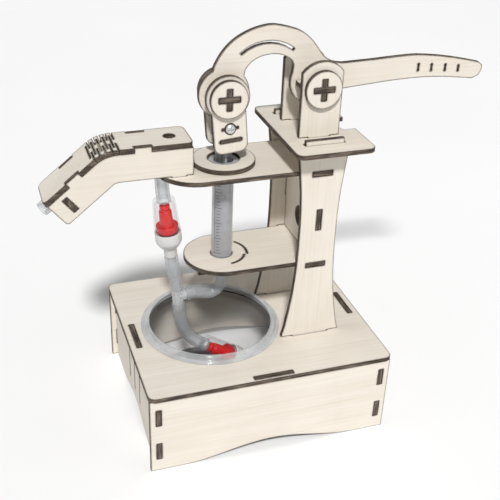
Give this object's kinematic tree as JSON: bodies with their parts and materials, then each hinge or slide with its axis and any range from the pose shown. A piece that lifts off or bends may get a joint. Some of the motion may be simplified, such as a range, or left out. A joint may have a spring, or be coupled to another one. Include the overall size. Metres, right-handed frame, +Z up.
{
  "type": "hand lever water pump model kit",
  "caption": "Plywood hand-lever water pump model: an arched lever works a syringe on a waisted column, with check valves, hoses, a bowl set in a box base and a bent spout box.",
  "frame": {"origin": "on the floor, under the middle of the whole outline", "axes": "+X from the spout to the handle, +Y to the back, +Z up"},
  "size_m": [0.2962, 0.14, 0.2726],
  "materials": {
    "plywood": "raw, with dark laser-cut edges",
    "bowl_plastic": "clear",
    "syringe_plastic": "translucent",
    "seal_rubber": "matt",
    "screw_steel": "plated",
    "fitting_plastic": "clear",
    "hose_plastic": "translucent",
    "valve_white": "gloss",
    "valve_red": "gloss",
    "valve_clear": "clear"
  },
  "bodies": {
    "stand": {"base_top_plate": "plywood", "base_front_panel": "plywood", "base_back_panel": "plywood", "base_left_wall": "plywood", "base_right_wall": "plywood", "column_front_plate": "plywood", "column_back_plate": "plywood", "column_cross_plate": "plywood", "lower_shelf": "plywood", "upper_shelf": "plywood", "column_top_plate": "plywood", "front_ear": "plywood", "back_ear": "plywood", "syringe_collar_ring": "plywood", "spout_front_side": "plywood", "spout_back_side": "plywood", "spout_top_strip": "plywood", "spout_bulkhead": "plywood", "water_bowl": "bowl_plastic", "syringe_barrel": "syringe_plastic", "tee_fitting": "fitting_plastic", "riser_hose": "hose_plastic", "suction_hose": "hose_plastic", "branch_hose": "hose_plastic", "delivery_hose": "hose_plastic", "valve_1_base": "valve_white", "valve_1_poppet": "valve_red", "valve_1_housing": "valve_clear", "valve_2_base": "valve_white", "valve_2_poppet": "valve_red", "valve_2_housing": "valve_clear"},
    "lever": {"lever": "plywood", "fulcrum_axle_upright": "plywood", "fulcrum_axle_level": "plywood", "fulcrum_cap_front": "plywood", "fulcrum_cap_back": "plywood", "pin_axle_upright": "plywood", "pin_axle_level": "plywood", "pin_cap_front": "plywood", "pin_cap_back": "plywood"},
    "clevis": {"clevis_front_plate": "plywood", "clevis_back_plate": "plywood", "clevis_strip": "plywood", "clevis_screw": "screw_steel", "clevis_nut": "screw_steel"},
    "plunger": {"plunger_rod": "syringe_plastic", "plunger_seal": "seal_rubber"}
  },
  "joints": [
    {"name": "lever_pivot", "type": "hinge", "parent": "stand", "child": "lever", "pos_m": [0.02753, 0, 0.2356], "axis": [0, 1, 0], "range_deg": [-4, 26]},
    {"name": "clevis_pivot", "type": "hinge", "parent": "lever", "child": "clevis", "pos_m": [-0.03047, 0, 0.2319], "axis": [0, 1, 0], "range_deg": [-20, 3.5]},
    {"name": "plunger_slide", "type": "slide", "parent": "stand", "child": "plunger", "axis": [0, 0, 1], "range_m": [-0.0042, 0.0262]}
  ],
  "couplings": [
    {"joint": "clevis_pivot", "follows": "lever_pivot", "ratio": -0.75},
    {"joint": "plunger_slide", "follows": "lever_pivot", "m_per_rad": 0.0569}
  ]
}
